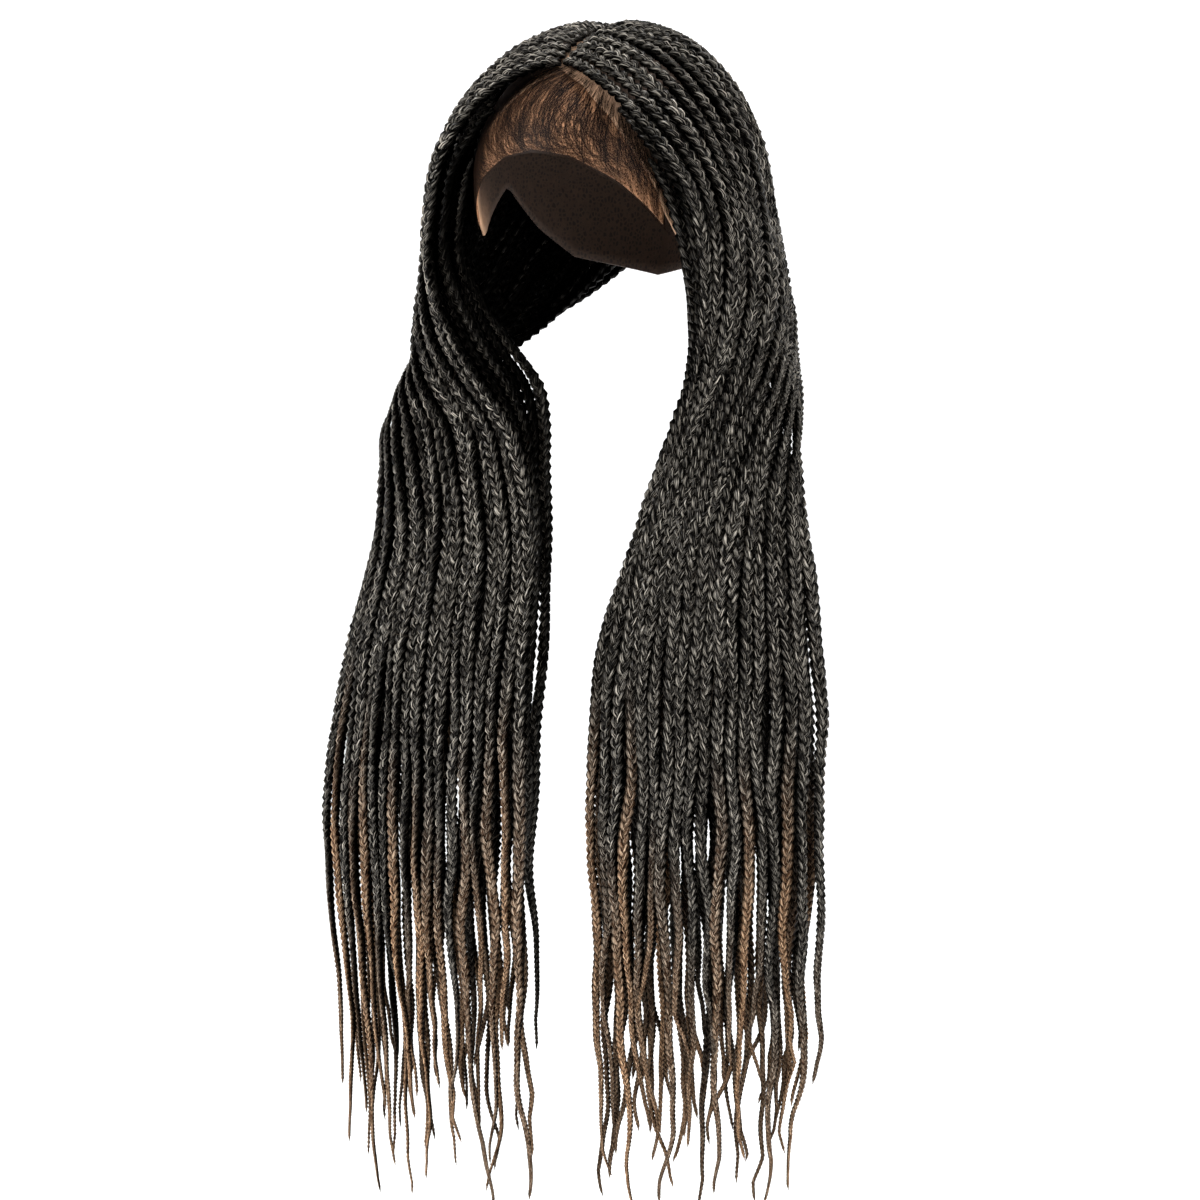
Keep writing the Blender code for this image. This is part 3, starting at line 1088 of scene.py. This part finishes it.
@dataclass(frozen=True)
class LacePanel:
    """A shell of net on the cap's form between two polar angles.

    Azimuths are in degrees. Where they go all round, the net starts a little off the crown. The net's pattern is
    laid out at net_radius, and turns tan within part_reach of the part and edge_reach of the cap's front edge.
    """

    form: CapForm
    name: str
    node: str
    slot: str
    finish: bpy.types.Material
    thickness: float
    azimuths: tuple[float, float]
    rows: int
    columns: int
    crown_start: float = 0.004
    seam: float = 0.0072
    net_radius: tuple[float, float] = (90 * MM, 100 * MM)
    part_reach: float = 9 * MM
    part_end: float = 80 * MM
    edge_reach: float = math.radians(9.0)
    edge_ends: tuple[float, float] = (1.5, 1.1)

    def polar(self, azimuth: np.ndarray, share: np.ndarray) -> np.ndarray:
        """Return the polar angles of the panel, from its top (share 0) to its edge (share 1)."""
        if self.node == "lace_cap":
            return share * edge_polar(azimuth, CAP_EDGE)
        top = edge_polar(azimuth, CAP_EDGE) + self.seam
        return top + share * (edge_polar(azimuth, LACE_EDGE) - top)

    def tan(self, azimuth: np.ndarray, polar: np.ndarray, wall: np.ndarray) -> np.ndarray:
        """Return where the net is tan.

        Args:
            azimuth: angles round the form.
            polar: angles down from the crown.
            wall: the points at those angles.

        Returns:
            A share from 0 to 1 for each point.
        """
        part = np.exp(-(wall[..., 0] / self.part_reach) ** 2) * (wall[..., 1] < self.part_end)
        front = np.exp(-((edge_polar(azimuth, CAP_EDGE) - polar) / self.edge_reach) ** 2)
        return np.maximum(part, front * smooth(*self.edge_ends, np.abs(azimuth)))

    def build(self) -> bpy.types.Object:
        """Lay the net on the cap's form between its edges, mark its pattern's places and its tan, give it its
        thickness and hide the part that it replaces.

        Returns:
            The panel.
        """
        closed = self.azimuths[1] - self.azimuths[0] > 359.0
        turn = np.radians(np.linspace(*self.azimuths, self.columns, endpoint=not closed))
        share = np.linspace(self.crown_start if closed else 0.0, 1.0, self.rows)
        azimuth, level = np.meshgrid(turn, share)
        polar = self.polar(azimuth, level)
        wall = self.form.point(azimuth, polar, 0.0)
        net = np.stack([azimuth * self.net_radius[0], polar * self.net_radius[1], np.zeros_like(polar)], -1)
        marks = {Mark.FIBRE: net.reshape(-1, 3), Mark.FADE: self.tan(azimuth, polar, wall).ravel()}
        faces = grid_quads(self.rows, self.columns, closed)[:, ::-1]
        piece = make_piece(self.name, wall.reshape(-1, 3), faces, marks, self.finish)
        cloth = piece.modifiers.new("cloth", "SOLIDIFY")
        cloth.thickness = self.thickness
        cloth.offset = 1.0
        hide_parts(self.node)
        return piece


# Single hairs


@dataclass(frozen=True)
class Sweep:
    """How the short hairs lie from one azimuth on: angles from straight down towards the wig's right."""

    azimuth: float
    start: float
    end: float
    length: float


SWEEPS = (
    Sweep(-60.0, 5.0, -30.0, 40.0 * MM),
    Sweep(-48.0, 30.0, -50.0, 60.0 * MM),
    Sweep(-30.0, 66.0, -70.0, 100.0 * MM),
    Sweep(-15.0, 80.0, -90.0, 128.0 * MM),
    Sweep(0.0, 78.0, -104.0, 132.0 * MM),
    Sweep(14.0, 58.0, -106.0, 112.0 * MM),
    Sweep(28.0, 28.0, -96.0, 74.0 * MM),
    Sweep(42.0, 8.0, -60.0, 40.0 * MM),
    Sweep(56.0, -5.0, -30.0, 28.0 * MM),
)


# How far apart hairs may sit in their finish's pattern, and how far a hair fades by its end
HAIR_SEATS = 50.0
HAIR_FADE = 0.6


def ribbons(lines: np.ndarray, outward: np.ndarray, width: np.ndarray) -> tuple[np.ndarray, np.ndarray]:
    """Turn lines into flat hairs.

    Args:
        lines: hairs by samples by three.
        outward: the direction each sample faces.
        width: the full width at each sample.

    Returns:
        The vertices and the faces.
    """
    hairs, samples = lines.shape[:2]
    tangent = unit(np.gradient(lines, axis=1))
    sideways = unit(np.cross(tangent, outward)) * (width / 2)[..., None]
    points = np.stack([lines - sideways, lines + sideways], 2).reshape(-1, 3)
    one = grid_quads(samples, 2, False)
    faces = (one[None] + (np.arange(hairs) * samples * 2)[:, None, None]).reshape(-1, 4)
    return points, faces


def hair_marks(lines: np.ndarray, rng: np.random.Generator) -> dict:
    """Return the marks of flat hairs.

    Args:
        lines: hairs by samples by three.
        rng: the seeded source of small differences.

    Returns:
        A random seat in the finish's pattern for each hair, and a fade from its root to its end.
    """
    hairs, samples = lines.shape[:2]
    seat = rng.uniform(0, HAIR_SEATS, (hairs, 1, 1, 3))
    share = np.broadcast_to(np.linspace(0, HAIR_FADE, samples)[None, :, None], (hairs, samples, 2))
    fibre = np.broadcast_to(seat, (hairs, samples, 2, 3))
    return {Mark.FIBRE: fibre.reshape(-1, 3), Mark.FADE: share.ravel()}


def lay_hairs(
    name: str, lines: np.ndarray, outward: np.ndarray, width: np.ndarray, finish: bpy.types.Material,
    rng: np.random.Generator,
) -> bpy.types.Object:
    """Make one piece of flat hairs.

    Args:
        name: the piece's name.
        lines: hairs by samples by three.
        outward: the direction each sample faces.
        width: the full width at each sample.
        finish: the hairs' material.
        rng: the seeded source of small differences.

    Returns:
        The piece.
    """
    points, faces = ribbons(lines, outward, width)
    piece = make_piece(name, points, faces, hair_marks(lines, rng), finish)
    LOG.info("%s: %d hairs", name, len(lines))
    return piece


@dataclass(frozen=True)
class Hairline:
    """The short hairs laid in curves on the sheer panel.

    Angles are in degrees. Values that end in _differs say how much a tuft and then a hair leaves its sweep.
    Over_cap and over_lace are how far the hairs stand off the cap's form, and arch is how far they lift between.
    Point is how much a hair narrows and how late, gather how much a tuft closes and how late, heavy how much
    thicker the hairs get over heavy_azimuths, and root_rows how far above and below the cap's edge they start.
    """

    form: CapForm
    finish: bpy.types.Material
    tufts: int = 58
    hairs: int = 50
    samples: int = 12
    width: float = 0.18 * MM
    width_spread: tuple[float, float] = (0.7, 1.3)
    heavy: float = 0.45
    heavy_azimuths: tuple[float, float] = (-5.0, -40.0)
    point: tuple[float, float] = (0.6, 3.0)
    first: float = -61.0
    reach: float = 121.0
    crowding: float = 1.45
    scatter: float = 1.0
    start_differs: tuple[float, float] = (4.0, 2.0)
    end_differs: tuple[float, float] = (9.0, 5.0)
    length_differs: tuple[float, float] = (2.5 * MM, 0.35)
    turn_power: float = 1.5
    fan: float = 4.2
    gather: tuple[float, float] = (0.9, 0.8)
    root_rows: tuple[float, float] = (-15.0, 3.0)
    radius: float = 88 * MM
    polar_range: tuple[float, float] = (0.5, 2.2)
    past_edge: float = 0.02
    cap_step: tuple[float, float] = (0.03, -0.02)
    over_cap: float = 2.0 * MM
    over_lace: float = 1.15 * MM
    arch: float = 0.8 * MM
    least_arch: float = 0.05

    def build(self, rng: np.random.Generator) -> bpy.types.Object:
        """Lay every tuft along its curve: its hairs are spread at the roots and meet at the tip.

        Args:
            rng: the seeded source of small differences.

        Returns:
            The hairline piece.
        """
        total = self.tufts * self.hairs
        tuft = np.repeat(np.arange(self.tufts), self.hairs)
        home = self.first + self.reach * np.linspace(0, 1, self.tufts) ** self.crowding
        home = home + rng.uniform(-self.scatter, self.scatter, self.tufts)
        keys = [sweep.azimuth for sweep in SWEEPS]

        def read(field: str, differs: float) -> np.ndarray:
            """Return one of the sweeps' values for each hair, a little different for each tuft."""
            values = np.interp(home, keys, [getattr(sweep, field) for sweep in SWEEPS])
            return (values + rng.normal(0, differs, self.tufts))[tuft]

        start = np.radians(read("start", self.start_differs[0]) + rng.normal(0, self.start_differs[1], total))
        end = np.radians(read("end", self.end_differs[0]) + rng.normal(0, self.end_differs[1], total))
        shorter, shorter_share = self.length_differs
        length = read("length", shorter) * (1.0 - shorter_share * rng.uniform(0, 1, total) ** 2)
        share = np.linspace(0, 1, self.samples)[None, :]
        azimuth = np.radians(home)[tuft]
        gathered = 1.0 - self.gather[0] * share ** self.gather[1]
        spread = np.radians(self.fan) * rng.uniform(-1.0, 1.0, total)[:, None] * gathered
        root = edge_polar(azimuth + spread[:, 0], CAP_EDGE) + np.radians(rng.uniform(*self.root_rows, total))
        heading = start[:, None] + (end - start)[:, None] * share ** self.turn_power
        step = (length / (self.samples - 1))[:, None]
        side = np.cumsum(-np.sin(heading) * step, axis=1)
        down = np.cumsum(np.cos(heading) * step, axis=1)
        polar = root[:, None] + down / self.form.crown
        level_radius = self.radius * np.sin(np.clip(polar, *self.polar_range))
        around = azimuth[:, None] + spread + side / level_radius
        polar = np.minimum(polar, edge_polar(around, LACE_EDGE) + self.past_edge)
        on_cap = smooth(*self.cap_step, polar - edge_polar(around, CAP_EDGE))
        lift = self.over_lace + (self.over_cap - self.over_lace) * on_cap
        lift = lift + self.arch * np.sin(math.pi * share) * rng.uniform(self.least_arch, 1.0, (total, 1))
        lines = self.form.point(around, polar, lift)
        heavy = 1.0 + self.heavy * smooth(*self.heavy_azimuths, home)[tuft][:, None]
        width = self.width * heavy * (1.0 - self.point[0] * share ** self.point[1])
        width = width * rng.uniform(*self.width_spread, (total, 1))
        return lay_hairs("hairline_hairs", lines, self.form.outward(lines), width, self.finish, rng)


@dataclass(frozen=True)
class PartHairs:
    """The short knotted hairs on both sides of the part and along the first braids' roots."""

    form: CapForm
    finish: bpy.types.Material
    hairs: int = 170
    samples: int = 5
    slopes: tuple[float, float] = (-38.0, 41.0)
    off_part: float = 1.9 * MM
    length: float = 5.0 * MM
    length_spread: tuple[float, float] = (0.6, 1.1)
    lean: float = 0.03
    lift: tuple[float, float, float] = (0.3 * MM, 2.4 * MM, 1.4)
    width: float = 0.22 * MM
    point: float = 0.5

    def build(self, rng: np.random.Generator) -> bpy.types.Object:
        """Comb the hairs from the part outward to both sides.

        Args:
            rng: the seeded source of small differences.

        Returns:
            The piece.
        """
        slope = np.radians(rng.uniform(*self.slopes, self.hairs))
        side = rng.choice((-1.0, 1.0), self.hairs)
        share = np.linspace(0, 1, self.samples)[None, :]
        reach = (self.length * rng.uniform(*self.length_spread, self.hairs))[:, None] * share
        x = side[:, None] * (self.off_part + reach)
        slope = slope[:, None] + rng.normal(0, self.lean, (self.hairs, 1)) * share
        y = -(self.form.half_length + self.form.cap) * np.sin(slope)
        z = (self.form.crown + self.form.cap) * np.cos(slope) - self.form.crown
        z = z - x ** 2 / (2 * self.form.half_width)
        base = np.stack([x, y, z], -1)
        outward = self.form.outward(base)
        lift = self.lift[0] + self.lift[1] * share ** self.lift[2]
        width = np.broadcast_to(self.width * (1.0 - self.point * share), x.shape)
        return lay_hairs("part_hairs", base + outward * lift[..., None], outward, width, self.finish, rng)


@dataclass(frozen=True)
class StrayFibres:
    """Fine fibres that have worked loose from the outer braids.

    Depth is how far under the layer's face they are rooted, wave and wave_turns the height and the closeness of
    their waves, and curl how far they bend away by their end.
    """

    sheet: Sheet
    finish: bpy.types.Material
    hairs: int = 1500
    samples: int = 6
    across: tuple[float, float] = (0.01, 0.99)
    along: tuple[float, float] = (10 * MM, 820 * MM)
    depth: float = 2.5 * MM
    scatter: tuple[float, float, float] = (0.5, 0.5, 0.4)
    fall: tuple[float, float, float] = (0.0, 0.0, -0.9)
    length: tuple[float, float] = (6 * MM, 20 * MM)
    wave: float = 2.2 * MM
    wave_turns: float = 90.0
    curl: float = 0.25
    width: float = 0.16 * MM
    point: float = 0.6

    def build(self, rng: np.random.Generator) -> bpy.types.Object:
        """Curl each fibre off the face of the outer layer.

        Args:
            rng: the seeded source of small differences.

        Returns:
            The piece.
        """
        knots = self.sheet.knots()
        _, outer = self.sheet.layer_heights(Layer.OUTER)
        across = rng.uniform(*self.across, self.hairs)
        place = rng.uniform(*self.along, self.hairs)
        side = rng.choice((-1.0, 1.0), self.hairs)
        base, way = (
            np.stack([hermite(knots, values[:, i], place[i:i + 1])[0] for i in range(self.hairs)])
            for values in self.sheet.stations(across)
        )
        way = unit(way)
        root = base + way * (np.interp(place, knots, outer) - self.depth)[:, None]
        heading = unit(rng.normal(0, 1, (self.hairs, 3)) * np.array(self.scatter) + np.array(self.fall))
        curl = unit(rng.normal(0, 1, (self.hairs, 3)))
        share = np.linspace(0, 1, self.samples)
        length = rng.uniform(*self.length, self.hairs)[:, None, None]
        run = length * share[None, :, None]
        lines = root[:, None] + heading[:, None] * run + way[:, None] * np.sin(run * self.wave_turns) * self.wave
        lines = lines + curl[:, None] * (length * self.curl * share[:, None] ** 2)
        lines[..., 0] *= side[:, None]
        way[:, 0] *= side
        outward = np.broadcast_to(way[:, None], lines.shape)
        width = np.broadcast_to(self.width * (1.0 - self.point * share)[None], lines.shape[:2])
        return lay_hairs("stray_fibres", lines, outward, width, self.finish, rng)


# Studio


@dataclass(frozen=True)
class SoftBox:
    """One soft area light: where it stands, how large it is and how strong."""

    name: str
    place: tuple[float, float, float]
    size: float
    power: float


@dataclass(frozen=True)
class Studio:
    """A pale paper sweep, soft boxes and the camera.

    Frame is the width that the camera shows at the aim. The paper's bend, of radius bend, starts at wall, behind
    the object, and its front edge is at near.
    """

    aim: tuple[float, float, float] = (0.0, 0.0, -0.382)
    light_aim: tuple[float, float, float] = (0.0, 0.0, -0.232)
    azimuth: float = 27.0
    elevation: float = 3.0
    distance: float = 4.5
    frame: float = 0.816
    sensor: float = 36.0
    far: float = 50.0
    floor: float = -0.90
    near: float = -0.9
    wall: float = 5.5
    bend: float = 1.2
    bend_steps: int = 16
    top: float = 8.0
    half_width: float = 11.0
    room_tone: str = "#ffffff"
    room_light: float = 0.12
    boxes: tuple[SoftBox, ...] = (
        SoftBox("key", (-1.5, -2.4, 1.5), 0.8, 112.0),
        SoftBox("fill", (2.4, -1.5, 0.4), 1.2, 56.0),
        SoftBox("crown", (0.3, 0.2, 2.0), 0.8, 34.0),
    )

    def build_paper(self) -> None:
        """Roll the paper: a floor that curves up into a wall behind the object, square to the camera."""
        profile = [(self.near, self.floor)]
        for turn in np.linspace(0, math.pi / 2, self.bend_steps):
            across, up = self.bend * math.sin(turn), self.bend * (1 - math.cos(turn))
            profile.append((self.wall + across, self.floor + up))
        profile.append((self.wall + self.bend, self.top))
        points = np.array([[x, y, z] for y, z in profile for x in (-self.half_width, self.half_width)])
        angle = math.radians(self.azimuth)
        matrix = np.array([[math.cos(angle), -math.sin(angle)], [math.sin(angle), math.cos(angle)]])
        points[:, :2] = points[:, :2] @ matrix.T
        mesh = bpy.data.meshes.new("paper_sweep")
        mesh.from_pydata(points.tolist(), [], grid_quads(len(profile), 2, False).tolist())
        mesh.shade_smooth()
        mesh.materials.append(StudioPaper().build())
        paper = bpy.data.objects.new("paper_sweep", mesh)
        bpy.context.scene.collection.objects.link(paper)

    def build_lights(self) -> None:
        """Set the soft boxes, aimed at the upper half, and the even light of the room."""
        for box in self.boxes:
            lamp = bpy.data.lights.new(box.name, "AREA")
            lamp.shape = "SQUARE"
            lamp.size = box.size
            lamp.energy = box.power
            item = bpy.data.objects.new(box.name, lamp)
            item.location = box.place
            item.rotation_euler = (Vector(self.light_aim) - item.location).to_track_quat("-Z", "Y").to_euler()
            bpy.context.scene.collection.objects.link(item)
        world = bpy.data.worlds.new("room")
        world.use_nodes = True
        shade = world.node_tree.nodes["Background"]
        shade.inputs["Color"].default_value = linear(self.room_tone)
        shade.inputs["Strength"].default_value = self.room_light
        bpy.context.scene.world = world

    def build_camera(self) -> None:
        """Stand the camera back with a long lens, turned to the wig's left."""
        azimuth, elevation = math.radians(self.azimuth), math.radians(self.elevation)
        level = math.cos(elevation)
        away = Vector((math.sin(azimuth) * level, -math.cos(azimuth) * level, math.sin(elevation)))
        data = bpy.data.cameras.new("camera")
        data.sensor_width = self.sensor
        data.lens = self.sensor * self.distance / self.frame
        data.clip_end = self.far
        camera = bpy.data.objects.new("camera", data)
        camera.location = Vector(self.aim) + away * self.distance
        camera.rotation_euler = (-away).to_track_quat("-Z", "Y").to_euler()
        bpy.context.scene.collection.objects.link(camera)
        bpy.context.scene.camera = camera

    def build(self) -> None:
        """Build the whole studio."""
        self.build_paper()
        self.build_lights()
        self.build_camera()
        bpy.context.scene.view_settings.view_transform = "Standard"
        LOG.info("studio ready")


@dataclass(frozen=True)
class Wig:
    """The wig: the net, the braids on it and the single hairs, each with its finish."""

    form: CapForm = CapForm()
    sheet: Sheet = Sheet(CapForm())
    cap_net: LaceNet = LaceNet("lace_net_cap_knitted", "#46352a", "#2a1f17", 2.6 * MM, 1.0, "#d0a583")
    sheer_net: LaceNet = LaceNet("lace_net_sheer_knitted", "#b98660", "#a3714f", 2.0 * MM, 0.6)
    cap_thickness: float = 1.5 * MM
    front_thickness: float = 1.0 * MM
    fibre: BraidedFibre = BraidedFibre("modacrylic_fibre_braided")
    # The hidden layers' fibre: its light colour, the painted highlight, is dimmer, and its body a little paler.
    under_fibre: BraidedFibre = BraidedFibre("modacrylic_fibre_braided_under", body="#221f1b", light="#8b8478")
    laid: SingleHair = SingleHair("single_hair_laid")
    loose: SingleHair = SingleHair("single_hair_loose", root="#15120f", end="#5b5146")
    full: PlaitSize = PlaitSize(least_pitch=6.0 * MM)
    light: PlaitSize = PlaitSize(samples=9)
    plain: PlaitSize = PlaitSize(samples=6, least_pitch=9.0 * MM)

    def build_net(self) -> None:
        """Stretch the cap's net all round and the sheer net below its front edge."""
        cap, sheer = self.cap_net.build(), self.sheer_net.build()
        for panel in (
            LacePanel(
                self.form, "cap_net", "lace_cap", "cap_net", cap, self.cap_thickness,
                azimuths=(-180.0, 180.0), rows=36, columns=96,
            ),
            LacePanel(
                self.form, "front_lace", "lace_front", "sheer_lace", sheer, self.front_thickness,
                azimuths=(-63.0, 63.0), rows=14, columns=64,
            ),
        ):
            panel.build()

    def build_braids(self, rng: np.random.Generator) -> None:
        """Hang the three layers of braids from the outside in, the hidden ones more simply plaited."""
        fibre, under = self.fibre.build(), self.under_fibre.build()
        BraidLayer(self.sheet, Layer.OUTER, fibre, "braided_fibre", self.full, self.light).build(rng)
        BraidLayer(self.sheet, Layer.MIDDLE, under, "under_fibre", self.plain, self.plain).build(rng)
        BraidLayer(self.sheet, Layer.INNER, under, "under_fibre", self.plain, self.plain).build(rng)

    def build_hairs(self, rng: np.random.Generator) -> None:
        """Lay the hairline, knot the part's hairs and let stray fibres curl off the braids."""
        laid, loose = self.laid.build(), self.loose.build()
        Hairline(self.form, laid).build(rng)
        PartHairs(self.form, loose).build(rng)
        StrayFibres(self.sheet, loose).build(rng)


def main() -> None:
    """Build the studio, then the wig from its lace outward."""
    logging.basicConfig(level=logging.INFO, format="%(name)s: %(message)s")
    for item in list(bpy.data.objects):
        bpy.data.objects.remove(item, do_unlink=True)
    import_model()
    Studio().build()
    rng = np.random.default_rng(SEED)
    wig = Wig()
    wig.build_net()
    wig.build_braids(rng)
    wig.build_hairs(rng)
    faces = sum(len(item.data.polygons) for item in bpy.data.objects if item.type == "MESH")
    LOG.info("all pieces: about %d triangles", 2 * faces)


if __name__ == "__main__":
    main()
